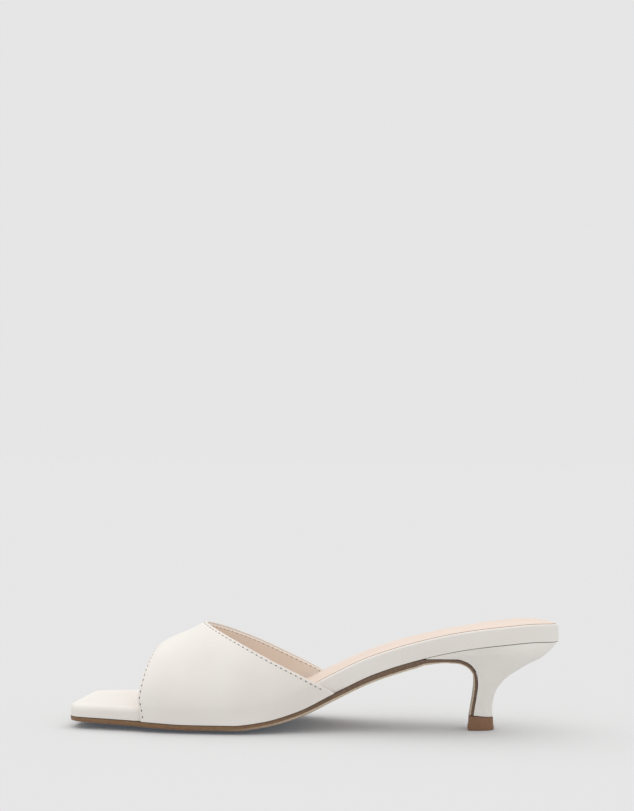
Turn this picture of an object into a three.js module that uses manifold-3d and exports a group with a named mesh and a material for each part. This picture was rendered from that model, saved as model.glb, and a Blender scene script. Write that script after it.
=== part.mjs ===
// Kitten heel mule for the right foot, in millimetres: a leather outsole that runs down the heel's breast, a
// wrapped footbed with its insole sock, one vamp band open at the toe and the throat, a covered heel and its
// top lift. +X points to the toe, +Y to the inner side of the foot, +Z up. It stands on the floor, z = 0.

import * as THREE from 'three';
import { mergeVertices } from 'three/addons/utils/BufferGeometryUtils.js';
import Module from 'manifold-3d';

// Driving dimensions
const length = 238;              // back of the seat to the tip of the toe
const ballWidth = 76;            // footbed across the ball
const heelHeight = 45.4;         // floor to the underside of the footbed at the seat
const vampHeight = 50.7;         // floor to the top of the vamp at the throat

// Sole and footbed
const soleThickness = 2.3;       // outsole
const soleBevel = 0.8;           // bevel along the outsole's lower edge
const crown = 1.9;               // how far the outsole's middle hangs below its edges
const treadFlat = 0.5;           // share of the half width that stands flat on the floor
const footbedThickness = 8.5;    // footbed in the arch and under the heel
const footbedRoll = 1.2;         // rounding of the footbed's upper edge
const seatRadius = 25;           // round back end of the seat
const seatRoll = 2.8;            // rounding of the footbed's top at its back end
const seatLean = 0.9;            // how much lower the outer edge of the seat lies than its inner edge
const toeCorner = 6;             // corners of the square toe
const toeSlant = 2.4;            // how far the outer toe corner lies behind the inner one
const toeRoll = 1;               // rounding of the footbed's top at the toe

// Insole sock
const sockThickness = 1;
const sockInset = 1.6;           // rim of the footbed that shows around the sock
const sockProud = 0.3;           // how far the sock stands above that rim
const sockFront = 0.76;          // front end of the sock under the vamp, as a share of the length

// Vamp
const wall = 1.8;                // leather and lining together
const vampFront = 0.836;         // front edge on the ridge, as a share of the length from the heel
const vampFrontBow = 4.7;        // how much further forward that edge lies low on the side
const vampFrontTuck = 2.3;       // how far its corner at the sole turns back again
const vampFrontFade = 1.6;        // how soon the edge's bow fades towards the ridge
const throatPeak = 0.734;        // back edge on the ridge, as a share of the length
const throatCorner = 0.4576;     // back edge at the sole, as a share of the length
const throatBow = 1.2;           // how far the throat's edge bows up, seen from the side
const upright = 0.12;            // share of the way from the sole to the ridge that stands straight up
const tuckShare = 0.25;          // share of that way along which the front corner turns back
const vampSpread = 1.7;          // how much wider the outsole is under the vamp
const spreadRun = 7;             // length over which the outsole widens there

// Heel
const seatReach = 65;            // length of the heel's seat
const heelSetIn = 31.9;          // back of the heel's tip, measured from the back of the seat
const tipLength = 11.7;          // heel tip with the sole in front of it
const tipWidth = 12;
const soleTurn = 0.3;            // where the outsole leaves the footbed, as a share of the length
const widestSeat = 0.12;         // where the seat is widest, as a share of the length
const liftHeight = 6.2;          // top lift at its back
const tipSlant = 0.9;            // how much higher the top lift is at its front
const liftStep = 0.1;            // how far the top lift stands out under the tip
const liftFlare = 0.7;           // how far its foot spreads on each side
const liftEdge = 0.5;            // bevel around the top lift's foot

const clearance = 0.3;           // between pieces that lie on each other

// How finely the faces are divided
const seatAngles = [5, 18, 32, 47, 62, 76];   // around the back of the seat, in degrees
const toeAngles = [30, 55, 75, 90];           // around the corners of the toe
const rollAngles = [90, 55, 25];              // over the footbed's rolled edge
const footbedLanes = [0.9, 0.75, treadFlat];  // across the footbed, as shares of the half width
const sockLanes = [1, 0.96, 0.5];
const soleLanes = [1, 0.85, 0.7, treadFlat, 0];
const footbedStep = 8;
const soleStep = 6;
const vampBands = 14;
const vampLanes = 11;
const heelSegments = 13;
const rowStep = 0.5;
const liftSegments = 8;
const smallest = 1e-9;           // area under which a triangle is left out
const weld = 1e-4;               // distance under which corners are one
const halvings = 50;             // steps that find where the throat's line meets the skin
const nudge = 0.004;             // step of the vamp's surface slopes

const back = -length / 2;
const tip = length / 2;
const tread = crown + soleThickness + clearance;
const station = (share) => back + share * length;

// Plan and profile of the footbed from heel to toe. at is a share of the length. inner and outer are half
// widths as shares of half the ball width. rise is the height of the underside above the tread as a share of
// the heel's. The rest are shares of the footbed's thickness, the outsole's thickness and the crown.
const lastRows = [
  { at: 0.00, inner: 0.660, outer: 0.666, rise: 0.982, footbed: 0.99, sole: 1.00, crown: 0.00 },
  { at: 0.05, inner: 0.660, outer: 0.666, rise: 1.000, footbed: 1.00, sole: 1.00, crown: 0.00 },
  { at: 0.12, inner: 0.658, outer: 0.664, rise: 0.962, footbed: 1.00, sole: 1.00, crown: 0.00 },
  { at: 0.20, inner: 0.565, outer: 0.595, rise: 0.884, footbed: 0.99, sole: 1.00, crown: 0.00 },
  { at: 0.30, inner: 0.510, outer: 0.585, rise: 0.736, footbed: 0.99, sole: 1.45, crown: 0.10 },
  { at: 0.38, inner: 0.515, outer: 0.605, rise: 0.575, footbed: 0.99, sole: 1.40, crown: 0.25 },
  { at: 0.46, inner: 0.585, outer: 0.695, rise: 0.350, footbed: 1.00, sole: 1.20, crown: 0.45 },
  { at: 0.53, inner: 0.730, outer: 0.835, rise: 0.151, footbed: 0.98, sole: 1.05, crown: 0.70 },
  { at: 0.60, inner: 0.895, outer: 0.970, rise: 0.038, footbed: 0.93, sole: 1.00, crown: 0.90 },
  { at: 0.66, inner: 0.980, outer: 1.015, rise: 0.000, footbed: 0.87, sole: 1.00, crown: 1.00 },
  { at: 0.75, inner: 1.000, outer: 0.987, rise: 0.000, footbed: 0.80, sole: 1.00, crown: 1.00 },
  { at: 0.85, inner: 0.934, outer: 0.908, rise: 0.018, footbed: 0.76, sole: 1.00, crown: 1.00 },
  { at: 0.93, inner: 0.855, outer: 0.829, rise: 0.029, footbed: 0.71, sole: 0.95, crown: 0.95 },
  { at: 1.00, inner: 0.776, outer: 0.737, rise: 0.035, footbed: 0.66, sole: 0.75, crown: 0.85 },
];

// Ridge of the vamp, from behind the throat, where it only guides the sides, to the toe opening. ridge is a
// height as a share of the vamp's height, full is the roundness of the section, 2 being an ellipse.
const vampRows = [
  { at: 0.450, ridge: 1.130, full: 1.60 },
  { at: 0.580, ridge: 1.120, full: 1.60 },
  { at: 0.660, ridge: 1.070, full: 1.60 },
  { at: 0.734, ridge: 1.000, full: 1.60 },
  { at: 0.770, ridge: 0.915, full: 1.65 },
  { at: 0.800, ridge: 0.855, full: 1.80 },
  { at: 0.822, ridge: 0.804, full: 1.90 },
  { at: 0.836, ridge: 0.756, full: 1.95 },
  { at: 0.860, ridge: 0.660, full: 2.00 },
];

// The heel from its seat to its tip. breast is the outsole's inner face, as shares of the run from the tip's
// front to the seat's front and of the height above the top lift. nape is the back of the heel, as shares of
// heelSetIn and the same height. spread is 1 at the seat's width and 0 at the tip's, stem turns the seat's
// plan into the tip's, and sole is a share of the outsole's thickness.
const heelRows = [
  { breast: 1.000, breastZ: 0.744, nape: 0.020, napeZ: 0.975, spread: 1.000, stem: 0.00, sole: 1.15 },
  { breast: 0.619, breastZ: 0.746, nape: 0.105, napeZ: 0.880, spread: 0.950, stem: 0.05, sole: 0.70 },
  { breast: 0.376, breastZ: 0.745, nape: 0.260, napeZ: 0.766, spread: 0.850, stem: 0.20, sole: 0.80 },
  { breast: 0.184, breastZ: 0.712, nape: 0.440, napeZ: 0.687, spread: 0.700, stem: 0.45, sole: 0.82 },
  { breast: 0.040, breastZ: 0.642, nape: 0.630, napeZ: 0.590, spread: 0.520, stem: 0.70, sole: 0.80 },
  { breast: -0.048, breastZ: 0.537, nape: 0.798, napeZ: 0.491, spread: 0.360, stem: 0.90, sole: 0.78 },
  { breast: -0.064, breastZ: 0.402, nape: 0.914, napeZ: 0.380, spread: 0.225, stem: 1.00, sole: 0.75 },
  { breast: -0.042, breastZ: 0.267, nape: 0.979, napeZ: 0.264, spread: 0.115, stem: 1.00, sole: 0.73 },
  { breast: -0.008, breastZ: 0.121, nape: 1.008, napeZ: 0.121, spread: 0.035, stem: 1.00, sole: 0.74 },
  { breast: 0.020, breastZ: 0.000, nape: 1.008, napeZ: 0.000, spread: 0.000, stem: 1.00, sole: 0.78 },
];

const { clamp, degToRad, lerp, smoothstep } = THREE.MathUtils;

// A smooth curve through one column of a table, with no overshoot between its rows
function column(rows, name, places) {
  const xs = places ?? rows.map((row) => row.at);
  const ys = rows.map((row) => row[name]);
  const chords = ys.slice(1).map((y, i) => (y - ys[i]) / (xs[i + 1] - xs[i]));
  const slopes = ys.map((_, i) => {
    const before = chords[Math.max(i - 1, 0)];
    const after = chords[Math.min(i, chords.length - 1)];
    return before * after <= 0 ? 0 : (2 * before * after) / (before + after);
  });
  return (x) => {
    let i = 0;
    while (i < xs.length - 2 && x > xs[i + 1]) i += 1;
    const run = xs[i + 1] - xs[i];
    const t = clamp((x - xs[i]) / run, 0, 1);
    const ease = t * t * (3 - 2 * t);
    const leave = t * (1 - t) * (1 - t) * run * slopes[i];
    const arrive = t * t * (t - 1) * run * slopes[i + 1];
    return ys[i] + (ys[i + 1] - ys[i]) * ease + leave + arrive;
  };
}

const last = {};
for (const name of ['inner', 'outer', 'rise', 'footbed', 'sole', 'crown']) {
  const curve = column(lastRows, name);
  last[name] = (x) => curve((x - back) / length);
}

// Height of the footbed's underside along its edge, and of its top
const seatAt = (x) => tread + last.rise(x) * (heelHeight - tread);
const slopeAt = (x) => (seatAt(x + 1) - seatAt(x - 1)) / 2;
const topAt = (x) => seatAt(x) + footbedThickness * last.footbed(x) * Math.hypot(1, slopeAt(x));

// Half width on the inner side (+1) or the outer side (-1); grow moves the whole outline out or in
function half(x, side, grow = 0) {
  const share = side > 0 ? last.inner(x) : last.outer(x);
  let width = (share * ballWidth) / 2 + grow;
  const behind = (back + seatRadius - x) / (seatRadius + grow);
  if (behind > 0) width *= Math.sqrt(Math.max(0, 1 - behind * behind));
  const ahead = x - (tip + grow - toeCorner);
  if (ahead > 0) width -= toeCorner - Math.sqrt(Math.max(0, toeCorner ** 2 - ahead ** 2));
  return width;
}

// The square toe is cut slightly aslant: its outer corner lies behind its inner one
function slant(x, y) {
  const ramp = smoothstep(x, station(0.85), tip);
  return x - (toeSlant * ramp * (1 - y / half(x, Math.sign(y) || 1))) / 2;
}

// How far the outsole's top and the footbed's underside hang below their edges, by share of the half width
function sag(x, share) {
  const outside = Math.max(0, Math.min(1, (Math.abs(share) - treadFlat) / (1 - treadFlat)));
  return crown * last.crown(x) * (1 - outside * outside);
}

// How far the footbed's top lies below its inner edge, because the seat leans to the outer side
function lean(x, y) {
  const part = 1 - smoothstep(x, station(0.18), station(0.34));
  return (seatLean * part * (1 - y / half(x, Math.sign(y) || 1))) / 2;
}

// Stations from the round back end to the toe, close together where the outline turns
function stations(from, to, grow = 0, step = footbedStep) {
  const centre = back + seatRadius;
  const list = seatAngles.map((angle) => centre - (seatRadius + grow) * Math.cos(degToRad(angle)));
  const straight = Math.round((tip - toeCorner - centre) / step);
  for (let i = 0; i <= straight; i += 1) list.push(lerp(centre, tip - toeCorner, i / straight));
  for (const angle of toeAngles) list.push(tip + grow - toeCorner * (1 - Math.sin(degToRad(angle))));
  const first = Math.max(from, list[0]);
  const final = Math.min(to, list.at(-1));
  const room = step / 4;
  const inside = list.filter((x) => (x > from + room || from < list[0]) && (x < to - room || to >= tip));
  return [first, ...inside.filter((x) => x > first && x < final), final];
}

// A closed body through rings of equal count. Each ring runs out along one face and home along the other,
// and the two ends are closed by strips between those runs.
function loft(rings) {
  const count = rings[0].length;
  const points = rings.flat();
  const faces = [];
  const triangle = (a, b, c) => {
    const flat = new THREE.Triangle(points[a], points[b], points[c]);
    if (flat.getArea() > smallest) faces.push(a, b, c);
  };
  const quad = (a, b, c, d) => {
    triangle(a, b, c);
    triangle(a, c, d);
  };
  for (let i = 0; i + 1 < rings.length; i += 1) {
    for (let j = 0; j < count; j += 1) {
      const next = (j + 1) % count;
      quad(i * count + j, i * count + next, (i + 1) * count + next, (i + 1) * count + j);
    }
  }
  const final = (rings.length - 1) * count;
  for (let j = 0; j < Math.floor((count - 1) / 2); j += 1) {
    quad(count - 1 - j, count - 2 - j, j + 1, j);
    quad(final + j, final + j + 1, final + count - 2 - j, final + count - 1 - j);
  }
  const geometry = new THREE.BufferGeometry().setFromPoints(points);
  geometry.setIndex(faces);
  return volume(geometry) < 0 ? turned(geometry) : geometry;
}

function volume(geometry) {
  const position = geometry.getAttribute('position');
  const corner = (i) => new THREE.Vector3().fromBufferAttribute(position, geometry.index.getX(i));
  let sum = 0;
  for (let i = 0; i < geometry.index.count; i += 3) {
    sum += corner(i).dot(corner(i + 1).cross(corner(i + 2))) / 6;
  }
  return sum;
}

function turned(geometry) {
  const order = Array.from(geometry.index.array);
  for (let i = 0; i < order.length; i += 3) [order[i], order[i + 1]] = [order[i + 1], order[i]];
  geometry.setIndex(order);
  return geometry;
}

// Cutting one body from another
const wasm = await Module();
wasm.setup();

function toManifold(geometry) {
  const merged = mergeVertices(geometry, weld);
  return new wasm.Manifold(new wasm.Mesh({
    numProp: 3,
    vertProperties: new Float32Array(merged.getAttribute('position').array),
    triVerts: new Uint32Array(merged.index.array),
  }));
}

function cut(geometry, tool) {
  const mesh = toManifold(geometry).subtract(toManifold(tool)).getMesh();
  const result = new THREE.BufferGeometry();
  result.setAttribute('position', new THREE.BufferAttribute(mesh.vertProperties, 3));
  result.setIndex(new THREE.BufferAttribute(mesh.triVerts, 1));
  return result;
}

const at = (x, y, z) => new THREE.Vector3(x, y, z);

// Footbed: a wrapped board that follows the foot from toe to seat, its upper edge rolled over
function footbed() {
  const rolled = (distance, radius) => radius - Math.sqrt(radius ** 2 - Math.max(0, radius - distance) ** 2);
  const rings = stations(back, tip).map((x) => {
    const top = topAt(x) - rolled(x - back, seatRoll) - rolled(tip - x, toeRoll);
    const lanes = [];
    for (const side of [1, -1]) {
      const reach = half(x, side);
      const roll = Math.min(footbedRoll, reach / 2);
      const lane = rollAngles.map((angle) => ({
        y: side * (reach - roll * (1 - Math.sin(degToRad(angle)))),
        drop: roll * (1 - Math.cos(degToRad(angle))),
      }));
      for (const share of footbedLanes) lane.push({ y: side * (reach - roll) * share, drop: 0 });
      lanes.push(...(side > 0 ? lane : lane.reverse()));
    }
    const upper = lanes.map(({ y, drop }) => at(slant(x, y), y, top - drop - lean(x, y)));
    const lower = lanes.map(({ y }) => at(slant(x, y), y, seatAt(x) - sag(x, y / half(x, y))));
    return [...upper, ...lower.reverse()];
  });
  return loft(rings);
}

// A sheet laid in the top of the footbed, from low below its surface to high above it
function inlay(grow, low, high, front) {
  const shares = [...sockLanes, ...sockLanes.map((share) => -share).reverse()];
  const rings = stations(back, front, grow).map((x) => {
    const lanes = shares.map((share) => share * half(x, share, grow));
    const upper = lanes.map((y) => at(x, y, topAt(x) + high - lean(x, y)));
    const lower = lanes.map((y) => at(x, y, topAt(x) + low - lean(x, y)));
    return [...upper, ...lower.reverse()];
  });
  return loft(rings);
}

const sock = () => inlay(-sockInset, sockProud - sockThickness, sockProud, station(sockFront));

function pocket() {
  const floor = sockProud - sockThickness - clearance;
  return inlay(clearance - sockInset, floor, footbedRoll, station(sockFront) + clearance);
}

// Vamp: one leather band over the foot. Its sides stand up along the footbed and then lean in to the ridge.
const ridgeCurve = column(vampRows, 'ridge');
const fullCurve = column(vampRows, 'full');
const ridgeAt = (x) => vampHeight * ridgeCurve((x - back) / length);
const fullAt = (x) => fullCurve((x - back) / length);

// A point of the vamp's outer face. turn runs from 0 at the inner side's foot over the ridge to 1 at the
// outer side's foot.
function skin(x, turn) {
  const side = turn < 0.5 ? 1 : -1;
  const climb = 1 - Math.abs(2 * turn - 1);
  const reach = half(x, side, clearance + wall);
  const seat = seatAt(x);
  const rim = topAt(x) + sockProud;
  if (climb < upright) return at(x, side * reach, lerp(seat, rim, climb / upright));
  const angle = ((climb - upright) / (1 - upright)) * (Math.PI / 2);
  const power = 2 / fullAt(x);
  const y = side * reach * Math.max(0, Math.cos(angle)) ** power;
  return at(x, y, rim + (ridgeAt(x) - rim) * Math.sin(angle) ** power);
}

function frontEdge(turn) {
  const climb = 1 - Math.abs(2 * turn - 1);
  const tuck = vampFrontTuck * (1 - smoothstep(climb, 0, tuckShare));
  return station(vampFront) + vampFrontBow * (1 - climb ** 2) ** vampFrontFade - tuck;
}

// Seen from the side the throat is one line with a slight bow, so its edge is where that line meets the skin
function throatEdge(turn) {
  const corner = station(throatCorner);
  const peak = station(throatPeak);
  const fall = (vampHeight - seatAt(corner)) / (peak - corner);
  let low = corner - seatRadius;
  let high = peak + seatRadius;
  for (let i = 0; i < halvings; i += 1) {
    const x = (low + high) / 2;
    const along = clamp((peak - x) / (peak - corner), 0, 1);
    const line = vampHeight - (peak - x) * fall + throatBow * 4 * along * (1 - along);
    if (skin(x, turn).z > line) low = x;
    else high = x;
  }
  return (low + high) / 2;
}

function vamp() {
  const point = (u, turn) => skin(lerp(frontEdge(turn), throatEdge(turn), u), turn);
  const inward = (u, turn) => {
    const along = point(Math.min(1, u + nudge), turn).sub(point(Math.max(0, u - nudge), turn));
    const around = point(u, Math.min(1, turn + nudge)).sub(point(u, Math.max(0, turn - nudge)));
    return around.cross(along).normalize();
  };
  const turns = [0, upright / 4, upright / 2];
  for (let i = 1; i <= vampLanes; i += 1) turns.push(lerp(upright / 2, 0.5, i / vampLanes));
  turns.push(...turns.slice(0, -1).reverse().map((turn) => 1 - turn));
  const rings = [];
  for (let i = 0; i <= vampBands; i += 1) {
    const u = i / vampBands;
    const outside = turns.map((turn) => point(u, turn));
    const inside = turns.map((turn) => point(u, turn).addScaledVector(inward(u, turn), wall));
    rings.push([...outside, ...inside.reverse()]);
  }
  return loft(rings);
}

// Heel: its seat follows the footbed, its breast the outsole, and its sides sweep in to the tip
const rowPlaces = heelRows.map((_, i) => i);
const heelCurve = {};
for (const name of ['breast', 'breastZ', 'nape', 'napeZ', 'spread', 'stem', 'sole']) {
  heelCurve[name] = column(heelRows, name, rowPlaces);
}
const seatFront = back + seatReach;
const tipTop = liftHeight + clearance;
const tipBack = back + heelSetIn;
const tipFront = tipBack + tipLength - soleThickness;
const heelLevel = (share) => tipTop + share * (heelHeight - tipTop);
const rowCount = heelRows.length - 1;

// The outsole's inner face along the breast, row by row
function breast(row) {
  const z = lerp(tipTop + tipSlant, heelHeight, heelCurve.breastZ(row));
  return at(lerp(tipFront, seatFront, heelCurve.breast(row)), 0, z);
}

// The outsole's inner face as one path: under the footbed, then down the breast
const solePath = [];
for (const x of stations(station(soleTurn), tip, 0, soleStep).reverse()) {
  solePath.push({ point: at(x, 0, seatAt(x) - clearance), x });
}
for (let row = 0; row <= rowCount; row += rowStep) solePath.push({ point: breast(row), row });
solePath.forEach((step, i) => {
  const before = solePath[Math.max(i - 1, 0)].point;
  const after = solePath[Math.min(i + 1, solePath.length - 1)].point;
  const run = after.clone().sub(before).normalize();
  step.normal = i === 0 ? at(0, 0, 1) : at(run.z, 0, -run.x);
  if (i === solePath.length - 1) step.normal = at(-1, 0, 0);
});

function heelWidth(row, share, side) {
  const seatX = lerp(seatFront, back + clearance, share);
  const seat = half(seatX, side);
  const widest = half(station(widestSeat), 1);
  const target = lerp(tipWidth / 2, widest, heelCurve.spread(row));
  const round = target * Math.sqrt(Math.max(0, 1 - share ** 3));
  return lerp((seat * target) / widest, round, heelCurve.stem(row));
}

function heel() {
  const shares = [];
  for (let i = 0; i <= heelSegments; i += 1) shares.push(Math.sin((i / heelSegments) * (Math.PI / 2)));
  const seatZ = (share) => seatAt(lerp(seatFront, back + clearance, share)) - clearance;
  const ring = (front, nape, row, bow) => {
    const along = (share, side) => {
      const level = seatZ(share) - lerp(seatZ(0), seatZ(1), share);
      const z = lerp(front.z, nape.z, share) + bow * level;
      return at(lerp(front.x, nape.x, share), side * heelWidth(row, share, side), z);
    };
    const inner = shares.map((share) => along(share, 1));
    const outer = shares.slice(0, -1).map((share) => along(share, -1));
    return [...inner, ...outer.reverse()];
  };
  const rings = [ring(at(seatFront, 0, seatZ(0)), at(back + clearance, 0, seatZ(1)), 0, 1)];
  for (let row = 0; row <= rowCount; row += rowStep) {
    const step = solePath.find((one) => one.row === row);
    const front = step.point.clone().addScaledVector(step.normal, clearance);
    const nape = at(back + heelSetIn * heelCurve.nape(row), 0, heelLevel(heelCurve.napeZ(row)));
    rings.push(ring(front, nape, row, 1 - heelCurve.stem(row)));
  }
  return loft(rings);
}

// Outsole: a thin sheet with a bevelled lower edge, square to its path at every step
function outsole() {
  const vampSeat = (x) => {
    const rise = smoothstep(x, station(throatCorner) - spreadRun, station(throatCorner));
    const fall = smoothstep(x, station(vampFront), station(vampFront) + spreadRun);
    return vampSpread * (rise - fall);
  };
  const rings = solePath.map(({ point, normal, x, row }) => {
    const under = x !== undefined;
    const reach = (side) => (under ? half(x, side) + vampSeat(x) : heelWidth(row, 0, side));
    const thickness = soleThickness * (under ? last.sole(x) : heelCurve.sole(row));
    const place = (side, share, inset, depth) => {
      const y = side * (reach(side) * share - inset);
      const drop = (under ? sag(x, y / reach(side)) : 0) + depth;
      const spot = point.clone().addScaledVector(normal, -drop);
      return at(under ? slant(spot.x, y) : spot.x, y, spot.z);
    };
    const outer = soleLanes.slice(0, -1).reverse().map((share) => [-1, share]);
    const lanes = [...soleLanes.map((share) => [1, share]), ...outer];
    const sheet = (depth) => lanes.map(([side, share]) => place(side, share, share * soleBevel, depth));
    const upper = [place(1, 1, 0, 0), ...sheet(0), place(-1, 1, 0, 0)];
    const lower = sheet(thickness);
    const edge = thickness - soleBevel;
    return [...upper, place(-1, 1, 0, edge), ...lower.reverse(), place(1, 1, 0, edge)];
  });
  return loft(rings);
}

// Top lift: a D-shaped block under the tip of the heel and the end of the sole
function topLift() {
  const shares = [];
  for (let i = 0; i <= liftSegments; i += 1) shares.push(Math.sin((i / liftSegments) * (Math.PI / 2)));
  const levels = [
    { z: liftHeight, grow: liftStep },
    { z: liftEdge, grow: liftFlare },
    { z: 0, grow: liftFlare - liftEdge },
  ];
  return loft(levels.map(({ z, grow }) => {
    const slope = z === liftHeight ? tipSlant : 0;
    const front = tipBack + tipLength + grow;
    const rear = tipBack - grow;
    const width = tipWidth / 2 + grow;
    const inner = shares.map((share) => {
      return at(lerp(front, rear, share), width * Math.sqrt(1 - share ** 3), z + slope * (1 - share));
    });
    const outer = inner.slice(0, -1).map((spot) => at(spot.x, -spot.y, spot.z));
    return [...inner, ...outer.reverse()];
  }));
}

const ivory = { color: 0xe9e4de, roughness: 0.55, metalness: 0 };
const nude = { color: 0xead8ca, roughness: 0.6, metalness: 0 };
const brown = { color: 0x6a5648, roughness: 0.65, metalness: 0 };
const rubberBrown = { color: 0x7a5a44, roughness: 0.7, metalness: 0 };

function piece(name, geometry, look) {
  geometry.computeVertexNormals();
  const mesh = new THREE.Mesh(geometry, new THREE.MeshStandardMaterial(look));
  mesh.name = name;
  return mesh;
}

const shoe = new THREE.Group();
shoe.add(piece('outsole', outsole(), brown));
shoe.add(piece('footbed', cut(footbed(), pocket()), ivory));
shoe.add(piece('insole', sock(), nude));
shoe.add(piece('upper', vamp(), ivory));
shoe.add(piece('heel', heel(), ivory));
shoe.add(piece('top_lift', topLift(), rubberBrown));

// The origin is the bottom centre of the shoe's box
const box = new THREE.Box3().setFromObject(shoe);
const centre = box.getCenter(new THREE.Vector3());
shoe.position.set(-centre.x, -centre.y, -box.min.z);

export default shoe;
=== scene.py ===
import math

import bpy
import bmesh
import numpy as np
from mathutils import Matrix, Vector


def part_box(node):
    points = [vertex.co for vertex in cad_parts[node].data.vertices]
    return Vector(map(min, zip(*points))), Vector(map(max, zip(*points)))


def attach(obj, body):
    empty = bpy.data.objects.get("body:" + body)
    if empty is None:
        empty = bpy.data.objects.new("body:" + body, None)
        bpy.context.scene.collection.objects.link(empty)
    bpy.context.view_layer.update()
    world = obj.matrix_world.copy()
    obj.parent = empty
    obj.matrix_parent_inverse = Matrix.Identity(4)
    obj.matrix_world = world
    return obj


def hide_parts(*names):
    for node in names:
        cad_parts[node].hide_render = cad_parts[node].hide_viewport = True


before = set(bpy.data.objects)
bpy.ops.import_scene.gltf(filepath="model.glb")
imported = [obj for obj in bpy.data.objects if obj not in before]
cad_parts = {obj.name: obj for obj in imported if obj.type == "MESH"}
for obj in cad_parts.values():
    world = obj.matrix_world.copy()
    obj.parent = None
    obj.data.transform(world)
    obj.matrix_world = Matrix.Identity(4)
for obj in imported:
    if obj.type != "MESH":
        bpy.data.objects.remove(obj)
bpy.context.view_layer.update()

# The camera: a long lens 0.9 m off the inner side of the shoe, a little above it, turned slightly towards the
# heel and rolled a touch, as a product picture taken by hand.
lens = bpy.data.cameras.new("camera")
lens.sensor_width = 36
lens.lens = 79.9
camera = bpy.data.objects.new("camera", lens)
bpy.context.scene.collection.objects.link(camera)
bpy.context.scene.camera = camera
swing = math.radians(4)
rise = math.radians(1.663)
roll = math.radians(0.75)
level_ahead = Vector((math.sin(swing), -math.cos(swing), 0))
level_right = Vector((-math.cos(swing), -math.sin(swing), 0))
ahead = level_ahead * math.cos(rise) + Vector((0, 0, math.sin(rise)))
above = Vector((0, 0, math.cos(rise))) - level_ahead * math.sin(rise)
right = level_right * math.cos(roll) + above * math.sin(roll)
upward = above * math.cos(roll) - level_right * math.sin(roll)
camera.matrix_world = Matrix((right, upward, -ahead)).transposed().to_4x4()
camera.location = (-0.06085, 0.8982, 0.133)


# Outsole: one thin sheet of sole leather, from the square toe through ball and arch and down the heel's
# breast. Its upright edge is stained brown and sealed, and painted shade darkens it in the arch and on
# the breast. The bevel under it is raw tan leather, painted pale in the arch as a reflection of the bright
# floor and painted darker towards the toe as shade near the floor. It is glued to the footbed and to the
# heel's breast.
length = 238
ball_width = 76
heel_height = 45.4
sole_thickness = 2.3
sole_bevel = 0.9
crown = 1.9
tread_flat = 0.5
seat_radius = 25
toe_corner = 6
toe_slant = 2.4
clearance = 0.3
vamp_front = 0.836
throat_corner = 0.4576
vamp_spread = 1.7
spread_run = 7
seat_reach = 65
heel_set_in = 31.9
tip_length = 11.7
tip_width = 12
lift_height = 6.2
tip_slant = 0.9
lift_flare = 0.7
sole_turn = 0.3
widest_seat = 0.12
back = -length / 2
toe = length / 2
tread = crown + sole_thickness + clearance
lift_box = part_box("top_lift")
lift_back = back + heel_set_in - lift_flare
moved = np.array([lift_box[0].x * 1000 - lift_back, (lift_box[0].y + lift_box[1].y) * 500, 0])

last_at = [0, 0.05, 0.12, 0.20, 0.30, 0.38, 0.46, 0.53, 0.60, 0.66, 0.75, 0.85, 0.93, 1]
last_rows = {
    "inner": [0.660, 0.660, 0.658, 0.565, 0.510, 0.515, 0.585,
              0.730, 0.895, 0.980, 1.000, 0.934, 0.855, 0.776],
    "outer": [0.666, 0.666, 0.664, 0.595, 0.585, 0.605, 0.695,
              0.835, 0.970, 1.015, 0.987, 0.908, 0.829, 0.737],
    "rise": [0.982, 1.000, 0.962, 0.884, 0.736, 0.575, 0.350,
             0.151, 0.038, 0.000, 0.000, 0.018, 0.029, 0.035],
    "footbed": [0.99, 1.00, 1.00, 0.99, 0.99, 0.99, 1.00, 0.98, 0.93, 0.87, 0.80, 0.76, 0.71, 0.66],
    "sole": [1.00, 1.00, 1.00, 1.00, 1.45, 1.40, 1.20, 1.05, 1.00, 1.00, 1.00, 1.00, 0.95, 0.75],
    "crown": [0, 0, 0, 0, 0.10, 0.25, 0.45, 0.70, 0.90, 1, 1, 1, 0.95, 0.85],
}
heel_rows = {
    "breast": [1.000, 0.619, 0.376, 0.184, 0.040, -0.048, -0.064, -0.042, -0.008, 0.020],
    "breast_z": [0.744, 0.746, 0.745, 0.712, 0.642, 0.537, 0.402, 0.267, 0.121, 0.000],
    "nape": [0.020, 0.105, 0.260, 0.440, 0.630, 0.798, 0.914, 0.979, 1.008, 1.008],
    "nape_z": [0.975, 0.880, 0.766, 0.687, 0.590, 0.491, 0.380, 0.264, 0.121, 0.000],
    "spread": [1.000, 0.950, 0.850, 0.700, 0.520, 0.360, 0.225, 0.115, 0.035, 0.000],
    "stem": [0, 0.05, 0.20, 0.45, 0.70, 0.90, 1, 1, 1, 1],
    "sole": [1.15, 0.70, 0.80, 0.82, 0.80, 0.78, 0.75, 0.73, 0.74, 0.78],
}


def drawn_through(places, values):
    """A smooth curve through the values, with no overshoot between them."""
    places, values = np.array(places, float), np.array(values, float)
    runs = np.diff(places)
    chords = np.diff(values) / runs
    before = np.concatenate([chords[:1], chords])
    after = np.concatenate([chords, chords[-1:]])
    both = np.where(before * after > 0, before + after, 1)
    slopes = np.where(before * after > 0, 2 * before * after / both, 0)

    def curve(x):
        i = np.clip(np.searchsorted(places, x) - 1, 0, len(places) - 2)
        t = np.clip((x - places[i]) / runs[i], 0, 1)
        ease = t * t * (3 - 2 * t)
        leave = t * (1 - t) ** 2 * runs[i] * slopes[i]
        arrive = t * t * (t - 1) * runs[i] * slopes[i + 1]
        return values[i] + (values[i + 1] - values[i]) * ease + leave + arrive

    return curve


def station(share):
    return back + share * length


def eased(x, low, high):
    t = np.clip((x - low) / (high - low), 0, 1)
    return t * t * (3 - 2 * t)


last_places = [station(share) for share in last_at]
last = {name: drawn_through(last_places, column) for name, column in last_rows.items()}
heel_line = {name: drawn_through(range(len(column)), column) for name, column in heel_rows.items()}


def seat_at(x):
    return tread + last["rise"](x) * (heel_height - tread)


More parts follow.
